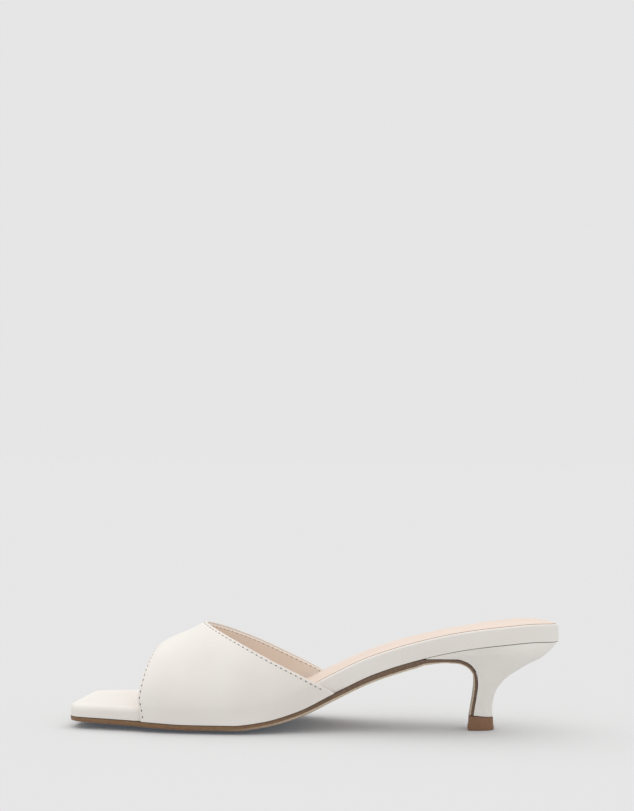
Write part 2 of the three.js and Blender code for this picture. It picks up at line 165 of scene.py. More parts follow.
def half(x, side, grow=0.0):
    """Half width of the footbed on the inner side (+1) or the outer side (-1)."""
    x, side = np.broadcast_arrays(np.asarray(x, float), side)
    width = np.where(side > 0, last["inner"](x), last["outer"](x)) * ball_width / 2 + grow
    behind = np.clip((back + seat_radius - x) / (seat_radius + grow), 0, 1)
    beyond = np.clip(x - (toe + grow - toe_corner), 0, toe_corner)
    return width * np.sqrt(1 - behind**2) - (toe_corner - np.sqrt(toe_corner**2 - beyond**2))


def aslant(x, y):
    """The square toe is cut aslant: its outer corner lies behind its inner one."""
    side = np.where(y < 0, -1, 1)
    return x - toe_slant * eased(x, station(0.85), toe) * (1 - y / np.maximum(half(x, side), 1)) / 2


def along_the_shoe(first, final, grow=0.0, step=2.0):
    """Stations from the round back end to the toe, close together where the outline turns."""
    centre = back + seat_radius
    back_turns = np.radians([0.4, 2, 4, 7, 11, 16, 21, 27, 34, 42, 50, 59, 68, 78])
    toe_turns = np.radians([12, 24, 36, 46, 55, 63, 70, 76, 81, 85, 88, 90])
    round_back = centre - (seat_radius + grow) * np.cos(back_turns)
    corner = toe + grow - toe_corner * (1 - np.sin(toe_turns))
    straight = np.arange(centre, toe + grow - toe_corner, step)
    places = np.concatenate([round_back, straight, corner])
    places = places[(places > first + step / 8) & (places < final - step / 8)]
    ends = [max(first, round_back[0])], [min(final, corner[-1])]
    near_toe = corner[corner > final - step / 8][:-1] if final >= toe else []
    return np.concatenate([ends[0], places, near_toe, ends[1]])


def solid(name, rings, finishes=None):
    """A closed body through rings of points in millimetres. finishes gives each strip of faces a material."""
    rings = np.array(rings, float)
    rows, count = rings.shape[:2]
    points = (rings.reshape(-1, 3) + moved) / 1000
    here = np.arange(count)
    there = (here + 1) % count
    faces = []
    for i in range(rows - 1):
        low, high = i * count, (i + 1) * count
        faces.append(np.stack([low + here, low + there, high + there, high + here], 1))
    faces = [list(map(int, face)) for face in np.concatenate(faces)]
    faces.append([int(j) for j in here[::-1]])
    faces.append([int(j) for j in here + (rows - 1) * count])
    mesh = bpy.data.meshes.new(name)
    mesh.from_pydata(points.tolist(), [], faces)
    strips = np.zeros(count, int) if finishes is None else np.array(finishes)
    slots = np.concatenate([np.tile(strips, rows - 1), strips[:1], strips[:1]])
    mesh.polygons.foreach_set("material_index", slots)
    build = bmesh.new()
    build.from_mesh(mesh)
    bmesh.ops.remove_doubles(build, verts=build.verts, dist=1e-6)
    bmesh.ops.dissolve_degenerate(build, edges=build.edges, dist=1e-7)
    if build.calc_volume(signed=True) < 0:
        bmesh.ops.reverse_faces(build, faces=build.faces)
    build.to_mesh(mesh)
    build.free()
    mesh.shade_smooth()
    mesh.set_sharp_from_angle(angle=math.radians(38))
    piece = bpy.data.objects.new(name, mesh)
    bpy.context.scene.collection.objects.link(piece)
    return piece


class Shade:
    """One output of a node in a material, on which arithmetic adds Math nodes."""

    def __init__(self, tree, out=None):
        self.tree = tree
        self.out = out

    def node(self, kind, settings=None, inputs=None, output=0):
        made = self.tree.nodes.new(kind)
        for name, value in (settings or {}).items():
            setattr(made, name, value)
        for key, value in (inputs or {}).items():
            if isinstance(value, Shade):
                self.tree.links.new(value.out, made.inputs[key])
            else:
                made.inputs[key].default_value = value
        return Shade(self.tree, made.outputs[output] if len(made.outputs) else None)

    def maths(self, operation, *others):
        return self.node("ShaderNodeMath", {"operation": operation}, dict(enumerate((self, *others))))

    def __add__(self, other):
        return self.maths("ADD", other)

    def __sub__(self, other):
        return self.maths("SUBTRACT", other)

    def __mul__(self, other):
        return self.maths("MULTIPLY", other)

    def ramp(self, low, high):
        ends = {"Value": self, "From Min": low, "From Max": high}
        return self.node("ShaderNodeMapRange", {"interpolation_type": "SMOOTHSTEP"}, ends)

    def blend(self, first, second):
        return self.node("ShaderNodeMix", {"data_type": "RGBA"}, {0: self, 6: first, 7: second}, 2)


def paint(red, green, blue):
    """A colour as a screen shows it, as the shader wants it."""
    return (*(((c / 255 + 0.055) / 1.055) ** 2.4 for c in (red, green, blue)), 1)


def empty_material(name):
    made = bpy.data.materials.new(name)
    made.use_nodes = True
    made.node_tree.nodes.clear()
    return made, Shade(made.node_tree)


def leather(name, colour, deep, pore=0.0006, relief=0.00005, rough=0.5, patch=0.03):
    """Smooth dyed leather: a fine pebble grain with pores, and a colour that drifts over the hide."""
    made, start = empty_material(name)
    place = start.node("ShaderNodeTexCoord", output=3)
    drift = start.node("ShaderNodeTexNoise", {}, {"Vector": place, "Scale": 1 / patch, "Detail": 4})
    cells = start.node("ShaderNodeTexVoronoi", {"feature": "SMOOTH_F1"},
                       {"Vector": place, "Scale": 1 / pore, "Smoothness": 0.6})
    specks = start.node("ShaderNodeTexNoise", {}, {"Vector": place, "Scale": 2.4 / pore, "Detail": 3})
    height = cells * 0.7 + specks * 0.5
    tone = (drift.ramp(0.3, 0.7) * 0.55 + specks.ramp(0.35, 0.75) * 0.2)
    bump = start.node("ShaderNodeBump", {}, {"Strength": 0.5, "Distance": relief, "Height": height})
    shader = start.node("ShaderNodeBsdfPrincipled", {}, {
        "Base Color": tone.blend(colour, deep), "Roughness": drift * 0.12 + (rough - 0.06),
        "Specular IOR Level": 0.42, "Normal": bump})
    start.node("ShaderNodeOutputMaterial", {}, {"Surface": shader})
    return made


breast_rows = np.arange(0, len(heel_rows["breast"]) - 0.99, 0.25)
lift_top = lift_height + clearance
tip_back = back + heel_set_in
tip_front = tip_back + tip_length - sole_thickness
seat_front = back + seat_reach


def heel_level(share):
    return lift_top + share * (heel_height - lift_top)


def breast_at(row):
    z = lift_top + tip_slant + heel_line["breast_z"](row) * (heel_height - lift_top - tip_slant)
    return tip_front + heel_line["breast"](row) * (seat_front - tip_front), z


def heel_width(row, share, side):
    """Half width of the heel at a share of the way from its breast to its nape."""
    seat_x = seat_front + share * (back + clearance - seat_front)
    widest = half(station(widest_seat), 1)
    target = tip_width / 2 + heel_line["spread"](row) * (widest - tip_width / 2)
    stem = heel_line["stem"](row)
    round_plan = target * np.sqrt(np.clip(1 - share**3, 0, None))
    return (1 - stem) * half(seat_x, side) * target / widest + stem * round_plan


def outsole():
    fine_run, coarse_step = 8, 1.6
    toe_run, tip_run, breast_run = 6, 3, 8
    breast_bevel_loss, bevel_limit = 0.35, 0.42
    slant_ends = 60
    under = along_the_shoe(station(sole_turn), toe, step=5)[::-1]
    seat_part = eased(under, station(throat_corner) - spread_run, station(throat_corner))
    front_part = eased(under, station(vamp_front), station(vamp_front) + spread_run)
    spread = vamp_spread * (seat_part - front_part)
    breast_x, breast_z = breast_at(breast_rows)
    still = np.zeros_like(breast_rows)
    path = {
        "x": np.concatenate([under, breast_x]),
        "z": np.concatenate([seat_at(under) - clearance, breast_z]),
        "inner": np.concatenate([half(under, 1) + spread, heel_width(breast_rows, 0, 1)]),
        "outer": np.concatenate([half(under, -1) + spread, heel_width(breast_rows, 0, -1)]),
        "thick": sole_thickness * np.concatenate([last["sole"](under), heel_line["sole"](breast_rows)]),
        "hang": crown * np.concatenate([last["crown"](under), still]),
    }
    walked = np.concatenate([[0], np.cumsum(np.hypot(np.diff(path["x"]), np.diff(path["z"])))])
    curves = {name: drawn_through(walked, column) for name, column in path.items()}
    later = np.arange(fine_run, walked[-1], coarse_step)
    steps = np.unique(np.concatenate([walked[walked < fine_run], later, walked[-1:]]))
    smooth = {name: curve(steps) for name, curve in curves.items()}
    run = np.stack([np.gradient(smooth["x"], steps), np.gradient(smooth["z"], steps)], 1)
    run /= np.linalg.norm(run, axis=1, keepdims=True)
    normal = np.stack([run[:, 1], -run[:, 0]], 1)
    ends = eased(steps, toe_run, 0)[:, None], eased(steps, walked[-1] - tip_run, walked[-1])[:, None]
    normal = normal * (1 - ends[0]) + np.array([0, 1]) * ends[0]
    normal = normal * (1 - ends[1]) + np.array([-1, 0]) * ends[1]
    normal /= np.linalg.norm(normal, axis=1, keepdims=True)
    across = np.sin(np.radians(np.linspace(90, -90, 31)))
    breast_part = eased(smooth["x"], seat_front, seat_front - breast_run)
    rings = []
    for i in range(len(steps)):
        thick, hang = smooth["thick"][i], smooth["hang"][i]
        bevel = min(sole_bevel - breast_bevel_loss * breast_part[i], thick * bevel_limit)
        reach = {1: smooth["inner"][i], -1: smooth["outer"][i]}

        def place(side, share, inset, depth):
            y = side * (reach[side] * share - inset)
            outside = np.clip((abs(y) / reach[side] - tread_flat) / (1 - tread_flat), 0, 1)
            drop = depth + hang * (1 - outside**2)
            x = smooth["x"][i] - normal[i][0] * drop
            z = smooth["z"][i] - normal[i][1] * drop
            return [aslant(x, y) if steps[i] < slant_ends else x, y, z]

        sides = [(1 if share >= 0 else -1, abs(share)) for share in across]
        top = [place(side, share, 0, 0) for side, share in sides]
        bottom = [place(side, share, share * bevel, thick) for side, share in sides]
        cut = [(0, depth * (thick - bevel)) for depth in (0.35, 0.7, 1)]
        round_cut = [(bevel * s, thick - bevel * (1 - s)) for s in (0.3, 0.65)]
        down = [place(-1, 1, *spot) for spot in cut + round_cut]
        up = [place(1, 1, *spot) for spot in (cut + round_cut)[::-1]]
        rings.append(top + down + bottom[::-1] + up)
    edge_strips = 3
    strips = [0] * len(across) + [0] * (edge_strips - 1) + [1] * 3 + [2] * (len(across) - 1) + [1] * 3
    strips += [0] * (len(rings[0]) - len(strips))
    return solid("outsole_leather", rings, strips)


def sole_edge():
    """Brown edge stain over leather fibres, a little darker and duller in its pores. Painted shade darkens it
    behind the ball, in the arch and on the breast.
    """
    made, start = empty_material("stained edge and painted shade")
    place = start.node("ShaderNodeTexCoord", output=3)
    fibres = start.node("ShaderNodeTexNoise", {}, {"Vector": place, "Scale": 900, "Detail": 5})
    wear = start.node("ShaderNodeTexNoise", {}, {"Vector": place, "Scale": 60, "Detail": 3})
    tone = fibres.ramp(0.35, 0.7) * 0.6 + wear.ramp(0.4, 0.8) * 0.4
    # Painted shade: the edge is darker from the breast through the arch and lighter towards the toe.
    forward = start.node("ShaderNodeSeparateXYZ", {}, {0: place}).ramp(-0.03, 0.05)
    ink_and_shade = forward.blend(paint(118, 93, 73), paint(134, 102, 68))
    worn_and_shade = forward.blend(paint(90, 70, 55), paint(112, 82, 54))
    bump = start.node("ShaderNodeBump", {}, {"Strength": 0.5, "Distance": 0.00008, "Height": fibres})
    shader = start.node("ShaderNodeBsdfPrincipled", {}, {
        "Base Color": tone.blend(ink_and_shade, worn_and_shade), "Roughness": fibres * 0.2 + 0.42,
        "Normal": bump})
    start.node("ShaderNodeOutputMaterial", {}, {"Surface": shader})
    return made


def bevel_finish():
    """The bevel: raw tan leather, painted pale in the arch and on the breast as a reflection of the bright
    floor, and painted darker brown towards the toe as shade near the floor.
    """
    made, start = empty_material("sole bevel")
    place = start.node("ShaderNodeTexCoord", output=3)
    fibres = start.node("ShaderNodeTexNoise", {}, {"Vector": place, "Scale": 1100, "Detail": 4})
    # Painted light: pale in the arch as a reflection of the floor, darker towards the toe as shade near it.
    forward = start.node("ShaderNodeSeparateXYZ", {}, {0: place}).ramp(-0.02, 0.06)
    pale = forward.blend(paint(222, 205, 182), paint(146, 112, 82))
    deep = forward.blend(paint(204, 186, 162), paint(124, 92, 66))
    bump = start.node("ShaderNodeBump", {}, {"Strength": 0.4, "Distance": 0.00006, "Height": fibres})
    shader = start.node("ShaderNodeBsdfPrincipled", {}, {
        "Base Color": fibres.ramp(0.35, 0.7).blend(pale, deep), "Roughness": fibres * 0.2 + 0.55,
        "Normal": bump})
    start.node("ShaderNodeOutputMaterial", {}, {"Surface": shader})
    return made


sole = outsole()
sole.data.materials.append(sole_edge())
sole.data.materials.append(bevel_finish())
sole.data.materials.append(leather("sole leather", paint(176, 160, 142), paint(158, 142, 124), pore=0.0009,
                                   relief=0.00008, rough=0.55, patch=0.02))
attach(sole, "root")
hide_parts("outsole")


# Footbed: board and padding wrapped in ivory leather. The wrap is drawn tight over the rim and lasted under,
# so the edges are round rolls, and the toe shows it as a plain platform. A shallow recess takes the sock.
footbed_thickness = 8.5
seat_lean = 0.9
footbed_roll = 1.2
toe_platform_roll = 3.2
seat_roll = 1.8
toe_roll = 1.0
sock_front = station(0.76)
sock_inset = 1.6
sock_proud = 0.3
sock_thickness = 1.0
recess_draft = 0.02


def top_at(x):
    slope = (seat_at(x + 1) - seat_at(x - 1)) / 2
    return seat_at(x) + footbed_thickness * last["footbed"](x) * np.hypot(1, slope)


def lean(x, y):
    """How far the footbed's top lies below its inner edge: the seat leans a little to the outer side."""
    side = np.where(np.asarray(y) < 0, -1, 1)
    part = 1 - eased(x, station(0.18), station(0.34))
    return seat_lean * part * (1 - y / np.maximum(half(x, side), 1)) / 2


def rolled(distance, radius):
    return radius - np.sqrt(radius**2 - np.clip(radius - distance, 0, radius) ** 2)


def footbed():
    rings = []
    recess_end = sock_front + clearance
    places = along_the_shoe(back, toe)
    places = np.sort(np.concatenate([places, [recess_end - recess_draft, recess_end + recess_draft]]))
    across = np.linspace(1, 0, 12)
    for x in places:
        top = float(top_at(x)) - rolled(x - back, seat_roll) - rolled(toe - x, toe_roll)
        halves = []
        for side in (1, -1):
            reach = float(half(x, side))
            radius = footbed_roll + (toe_platform_roll - footbed_roll) * eased(x, station(0.8), station(0.9))
            radius = min(radius, reach / 2)
            inside = max(0.0, min(float(half(x, side, clearance - sock_inset)), reach - radius))
            sunk = (sock_thickness + clearance - sock_proud) if x < recess_end and inside > 0 else 0.0
            angles = [math.radians(a) for a in np.linspace(90, 0, 8)]
            turned = [(reach - radius * (1 - math.sin(a)), radius * (1 - math.cos(a))) for a in angles]
            foot = inside - min(recess_draft, inside)
            rim = [(inside + 0.05, 0.0), (inside, min(0.06, sunk)), (foot, sunk)]
            floor = [(max(0.0, inside - recess_draft) * share, sunk) for share in across[1:]]
            upper = [(y * side, top - drop - float(lean(x, y * side))) for y, drop in turned + rim + floor]
            below = float(seat_at(x))
            under = [(reach * share * side, below - sag_at(x, share)) for share in np.linspace(1, 0, 14)]
            halves.append((upper, under))
        (inner_top, inner_under), (outer_top, outer_under) = halves
        ring = inner_top + outer_top[::-1][1:] + outer_under + inner_under[::-1][1:]
        rings.append([(float(aslant(x, y)), y, z) for y, z in ring])
    return solid("footbed_wrap", rings)


def sag_at(x, share):
    outside = np.clip((abs(share) - tread_flat) / (1 - tread_flat), 0, 1)
    return crown * float(last["crown"](x)) * (1 - outside**2)


wrap = footbed()
ivory = leather("ivory leather", paint(235, 230, 224), paint(228, 222, 215))
wrap.data.materials.append(ivory)
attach(wrap, "root")
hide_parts("footbed")


# Insole sock: thin nude leather, cut to the footbed's outline less a narrow rim and glued into its recess.
# Its cut edge shows as a fine darker line.
def sock():
    rings = []
    across = np.sin(np.radians(np.linspace(90, -90, 41)))
    edge = 0.3
    for x in along_the_shoe(back, sock_front, -sock_inset):
        reach = {1: float(half(x, 1, -sock_inset)), -1: float(half(x, -1, -sock_inset))}
        ys = [share * reach[1 if share >= 0 else -1] for share in across]
        top = float(top_at(x)) + sock_proud
        near = [reach[1 if y >= 0 else -1] - abs(y) for y in ys]
        leans = [float(lean(x, y)) for y in ys]
        upper = [(x, y, top - float(rolled(gap, edge)) * 0.8 - low) for y, gap, low in zip(ys, near, leans)]
        lower = [(x, y, top - sock_thickness - low) for y, low in zip(ys, leans)]
        rings.append(upper + lower[::-1])
    strips = [1] + [0] * (len(across) - 3) + [1] * (len(across) + 3)
    return solid("insole_sock", rings, strips[:len(rings[0])])


insole = sock()
insole.data.materials.append(leather("nude sock leather", paint(228, 210, 196), paint(221, 202, 187),
                                     pore=0.0007, relief=0.00004, rough=0.58))
insole.data.materials.append(leather("cut sock edge", paint(176, 140, 112), paint(150, 116, 92), rough=0.8))
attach(insole, "root")
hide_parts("insole")


# Vamp: one band of ivory leather drawn over the last, its front and throat edges folded round and turned in,
# and its foot lasted under between footbed and outsole. It has a soft nude lining, set back from both edges.
vamp_height = 50.7
vamp_front_bow = 4.7
vamp_front_tuck = 2.3
vamp_front_fade = 1.6
tuck_share = 0.25
throat_peak = 0.734
throat_bow = 1.2
upright = 0.12
wall = 1.8
leather_thickness = 1.0
glue_line = 0.02
nudge = 0.003
halvings = 50
lining_set_back = 0.7
vamp_at = [station(share) for share in (0.450, 0.580, 0.660, 0.734, 0.770, 0.800, 0.822, 0.836, 0.860)]
vamp_ridge = drawn_through(vamp_at, [1.13, 1.12, 1.07, 1, 0.915, 0.855, 0.804, 0.756, 0.66])
vamp_full = drawn_through(vamp_at, [1.6, 1.6, 1.6, 1.6, 1.65, 1.8, 1.9, 1.95, 2.0])


def skin(x, turn):
    """The vamp's outer face: turn is 0 at the inner foot, half on the ridge and 1 at the outer foot."""
    x, turn = np.broadcast_arrays(np.asarray(x, float), turn)
    side = np.where(turn < 0.5, 1, -1)
    climb = 1 - abs(2 * turn - 1)
    reach = half(x, side, clearance + wall)
    rim = top_at(x) + sock_proud
    angle = np.clip((climb - upright) / (1 - upright), 0, 1) * math.pi / 2
    power = 2 / vamp_full(x)
    y = side * reach * np.clip(np.cos(angle), 0, 1) ** power
    leaning = rim + (vamp_height * vamp_ridge(x) - rim) * np.sin(angle) ** power
    standing = seat_at(x) + (rim - seat_at(x)) * np.clip(climb / upright, 0, 1)
    return np.stack([x, y, np.where(climb < upright, standing, leaning)], -1)


def front_edge(turn):
    climb = 1 - abs(2 * turn - 1)
    tuck = vamp_front_tuck * (1 - eased(climb, 0, tuck_share))
    return station(vamp_front) + vamp_front_bow * np.clip(1 - climb**2, 0, 1) ** vamp_front_fade - tuck


def cut_throat(turn):
    """From the side the throat is one line with a slight bow, and its edge is where that meets the skin."""
    corner, peak = station(throat_corner), station(throat_peak)
    fall = (vamp_height - seat_at(corner)) / (peak - corner)
    low = np.full_like(turn, corner - seat_radius)
    high = np.full_like(turn, peak + seat_radius)
    for _ in range(halvings):
        x = (low + high) / 2
        along = np.clip((peak - x) / (peak - corner), 0, 1)
        over = skin(x, turn)[..., 2] > vamp_height - (peak - x) * fall + throat_bow * 4 * along * (1 - along)
        low, high = np.where(over, x, low), np.where(over, high, x)
    return (low + high) / 2


throat_turns = np.linspace(0, 1, 2001)
throat_cut = cut_throat(throat_turns)


def throat_edge(turn):
    return np.interp(turn, throat_turns, throat_cut)


def vamp_point(u, turn):
    front = front_edge(turn)
    return skin(front + u * (throat_edge(turn) - front), turn)


# Soft creases and swells of the band: the place along the shoe and the height above the floor
# where each starts and ends, how wide it is, and how deep it sinks in (below zero, how far it swells out).
creases = (
    ((17, 42), (30, 6), 9.0, 0.34),
    ((2, 28), (8, 14), 7.0, -0.30),
    ((34, 9), (36, 5.5), 1.8, 0.16),
    ((52, 16), (60, 6), 5.0, 0.14),
    ((44, 22), (52, 8), 5.0, -0.10),
)


def crease_depth(spots):
    depth = np.zeros(spots.shape[:-1])
    for start, end, breadth, sink in creases:
        start, end = np.array(start, float), np.array(end, float)
        run = end - start
        across = spots[..., [0, 2]] - start
        share = np.clip((across * run).sum(-1) / (run @ run), 0, 1)
        away = np.linalg.norm(across - share[..., None] * run, axis=-1)
        depth += sink * np.exp(-((away / breadth) ** 2))
    return depth


def vamp_frame(u, turn):
    """Point, step towards the throat, step round the foot, and the inward normal."""
    step_u = (vamp_point(u + nudge, turn) - vamp_point(u - nudge, turn)) / (2 * nudge)
    low, high = np.clip(turn - nudge, 0, 1), np.clip(turn + nudge, 0, 1)
    step_turn = (vamp_point(u, high) - vamp_point(u, low)) / (high - low)[..., None]
    inward = np.cross(step_turn, step_u)
    inward /= np.linalg.norm(inward, axis=-1, keepdims=True)
    flat = vamp_point(u, turn)
    held = eased(1 - abs(2 * turn - 1), 0, 0.06)
    return flat + inward * (crease_depth(flat) * held)[..., None], step_u, step_turn, inward


def from_edge(turn, edge, distance):
    """u at a distance from the front edge (0) or the throat edge (1), square to that edge."""
    u = np.full_like(turn, edge)
    _, step_u, _, _ = vamp_frame(u, turn)
    low, high = np.clip(turn - nudge, 0, 1), np.clip(turn + nudge, 0, 1)
    run = vamp_point(u, high) - vamp_point(u, low)
    run /= np.linalg.norm(run, axis=-1, keepdims=True)
    square = step_u - run * (step_u * run).sum(-1, keepdims=True)
    reach = distance / np.linalg.norm(square, axis=-1)
    outward = square / np.linalg.norm(square, axis=-1, keepdims=True)
    return (reach if edge == 0 else 1 - reach), (-outward if edge == 0 else outward)


def vamp_turns():
    standing = np.linspace(0, upright, 7)[:-1]
    climbs = np.concatenate([standing, upright + (1 - upright) * np.linspace(0, 1, 64)])
    turns = climbs / 2
    return np.concatenate([turns, 1 - turns[:-1][::-1]])


def band(name, depth, thickness, set_back, rounded, finishes):
    """A layer of the vamp from depth to depth + thickness under its skin, its edges round or cut."""
    turns = vamp_turns()
    reach = set_back + (thickness / 2 if rounded else 0)
    start, out_front = from_edge(turns, 0.0, reach)
    stop, out_throat = from_edge(turns, 1.0, reach)
    rows = []
    shares = np.linspace(0, 1, 80)
    inner = []
    for share in shares:
        point, _, _, inward = vamp_frame(start + share * (stop - start), turns)
        rows.append(point + inward * depth)
        inner.append(point + inward * (depth + thickness))
    arc = np.radians(np.linspace(0, 180, 9)[1:-1]) if rounded else []

    def folded(edge, outward, way):
        """The half round of an edge, inwards (-1) at the throat and back out (1) at the front."""
        point, _, _, inward = vamp_frame(edge, turns)
        centre = point + inward * (depth + thickness / 2)
        return [centre + way * inward * np.cos(a) * thickness / 2 + outward * np.sin(a) * thickness / 2
                for a in arc]

    layers = rows + folded(stop, out_throat, -1) + inner[::-1] + folded(start, out_front, 1)
    rings = np.stack(layers, 1)
    made = solid(name, rings)
    made.data.materials.append(finishes)
    return made


vamp = band("vamp_leather", 0.0, leather_thickness, 0.0, True, ivory)
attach(vamp, "root")
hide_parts("upper")

lining_leather = leather("nude lining", paint(252, 242, 233), paint(246, 234, 222), pore=0.0008,
                         relief=0.00004, rough=0.65)
lining = band("vamp_lining", leather_thickness + glue_line, wall - leather_thickness - glue_line,
              lining_set_back, False, lining_leather)
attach(lining, "root")


# Stitches: one row of ivory thread along each folded edge of the vamp, sewn through to the lining. Each
# stitch lies over the leather and dips into a hole at both ends; each hole is a flat dark mark of painted
# shade.
def stitch_tree():
    tree = bpy.data.node_groups.new("stitch row", "GeometryNodeTree")
    asks = tree.interface
    asks.new_socket("Path", in_out="INPUT", socket_type="NodeSocketGeometry")
    sizes = {}
    for name in ("Pitch", "Stitch Length", "Thread Radius", "Hole Length", "Hole Width"):
        sizes[name] = asks.new_socket(name, in_out="INPUT", socket_type="NodeSocketFloat").identifier
    for name in ("Thread", "Hole"):
        sizes[name] = asks.new_socket(name, in_out="INPUT", socket_type="NodeSocketMaterial").identifier
    asks.new_socket("Stitches", in_out="OUTPUT", socket_type="NodeSocketGeometry")
    row = Shade(tree)
    given = tree.nodes.new("NodeGroupInput")

    def asked(name):
        return Shade(tree, given.outputs[name])

    def joined(*parts):
        made = tree.nodes.new("GeometryNodeJoinGeometry")
        for part in parts:
            tree.links.new(part.out, made.inputs[0])
        return Shade(tree, made.outputs[0])

    facing = row.node("GeometryNodeInputNamedAttribute", {"data_type": "FLOAT_VECTOR"}, {"Name": "facing"})
    along = row.node("GeometryNodeInputTangent")
    turn = row.node("FunctionNodeAxesToRotation", {"primary_axis": "Z", "secondary_axis": "X"},
                    {0: facing, 1: along})
    path = row.node("GeometryNodeMeshToCurve", {}, {0: asked("Path")})
    whole = row.node("GeometryNodeCurveLength", {}, {0: path})
    trimmed = row.node("GeometryNodeTrimCurve", {"mode": "LENGTH"},
                       {"Curve": path, 4: asked("Pitch") * 0.5, 5: whole - asked("Pitch") * 0.5})
    kinds = (
        (trimmed, "Stitch Length", asked("Thread Radius") * 2, asked("Thread Radius") * 1.6, "Thread"),
        (path, "Hole Length", asked("Hole Width"), asked("Hole Width") * 0.12, "Hole"),
    )
    parts = []
    for line, long_side, wide, tall, material in kinds:
        spots = row.node("GeometryNodeResampleCurve", {"mode": "LENGTH"},
                         {"Curve": line, "Length": asked("Pitch")})
        ball = row.node("GeometryNodeMeshIcoSphere", {}, {"Radius": 0.5, "Subdivisions": 2})
        size = row.node("ShaderNodeCombineXYZ", {}, {0: asked(long_side), 1: wide, 2: tall})
        put = row.node("GeometryNodeInstanceOnPoints", {},
                       {"Points": spots, "Instance": ball, "Rotation": turn, "Scale": size})
        real = row.node("GeometryNodeRealizeInstances", {}, {0: put})
        parts.append(row.node("GeometryNodeSetMaterial", {}, {"Geometry": real, "Material": asked(material)}))
    end = tree.nodes.new("NodeGroupOutput")
    tree.links.new(joined(*parts).out, end.inputs[0])
    return tree, sizes


def thread_finish():
    """Waxed ivory thread: fine twisted strands with a soft shine."""
    made, start = empty_material("ivory thread")
    place = start.node("ShaderNodeTexCoord", output=3)
    twist = start.node("ShaderNodeTexWave", {}, {"Vector": place, "Scale": 700, "Distortion": 2})
    bump = start.node("ShaderNodeBump", {}, {"Strength": 0.4, "Distance": 0.00005, "Height": twist})
    shader = start.node("ShaderNodeBsdfPrincipled", {}, {
        "Base Color": twist.blend(paint(236, 230, 221), paint(224, 217, 206)), "Roughness": 0.55,
        "Normal": bump})
    start.node("ShaderNodeOutputMaterial", {}, {"Surface": shader})
    return made


def hole_shade_finish(name, light, dark):
    """Painted shade for the inside of a hole the needle made: a flat dark mark."""
    made, start = empty_material(name)
    place = start.node("ShaderNodeTexCoord", output=3)
    depth = start.node("ShaderNodeTexNoise", {}, {"Vector": place, "Scale": 800})
    shader = start.node("ShaderNodeBsdfPrincipled", {}, {
        "Base Color": depth.blend(light, dark), "Roughness": 0.9})
    start.node("ShaderNodeOutputMaterial", {}, {"Surface": shader})
    return made


stitch_share = 0.72
thread_radius = 0.00022
row_tree, row_inputs = stitch_tree()
thread = thread_finish()
# Dark marks of painted shade for the holes, on the leather and on the lining.
outer_hole_shade = hole_shade_finish("needle hole painted shade", paint(104, 96, 94), paint(80, 74, 76))
inner_hole_shade = hole_shade_finish("lining hole painted shade", paint(140, 112, 92), paint(116, 92, 76))


def stitched(name, edge, distance, pitch, depth, foot, hole):
    """One row, at a distance from an edge, on the skin at depth 0 or on the lining at the wall's depth."""
    turns = np.linspace(foot, 1 - foot, 240)
    u, _ = from_edge(turns, edge, distance)
    point, _, _, inward = vamp_frame(u, turns)
    facing = inward if depth > 0 else -inward
    mesh = bpy.data.meshes.new(name)
    spots = (point + inward * depth + moved) / 1000
    mesh.from_pydata(spots.tolist(), [(i, i + 1) for i in range(len(spots) - 1)], [])
    mesh.attributes.new("facing", "FLOAT_VECTOR", "POINT").data.foreach_set("vector", facing.ravel())
    path = bpy.data.objects.new(name, mesh)
    bpy.context.scene.collection.objects.link(path)
    sewn = path.modifiers.new("stitches", "NODES")
    sewn.node_group = row_tree
    hole_share, hole_width, hole_look = hole
    sizes = {"Pitch": pitch, "Stitch Length": pitch * stitch_share, "Thread Radius": thread_radius,
             "Hole Length": pitch * hole_share, "Hole Width": hole_width, "Thread": thread, "Hole": hole_look}
    for size, value in sizes.items():
        sewn[row_inputs[size]] = value
    seen = path.evaluated_get(bpy.context.evaluated_depsgraph_get())
    plain = bpy.data.meshes.new_from_object(seen)
    path.modifiers.remove(sewn)
    path.data = plain
    bpy.data.meshes.remove(mesh)
    plain.shade_smooth()
    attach(path, "root")


stitched("throat_stitches", 1.0, 1.4, 0.0027, 0.0, 0.035, (0.44, 0.00055, outer_hole_shade))
stitched("front_stitches", 0.0, 1.15, 0.0031, 0.0, 0.02, (0.40, 0.00055, outer_hole_shade))
stitched("throat_stitches_inside", 1.0, 1.25, 0.0027, wall, 0.06, (0.66, 0.0004, inner_hole_shade))
stitched("front_stitches_inside", 0.0, 1.15, 0.0031, wall, 0.07, (0.60, 0.0004, inner_hole_shade))


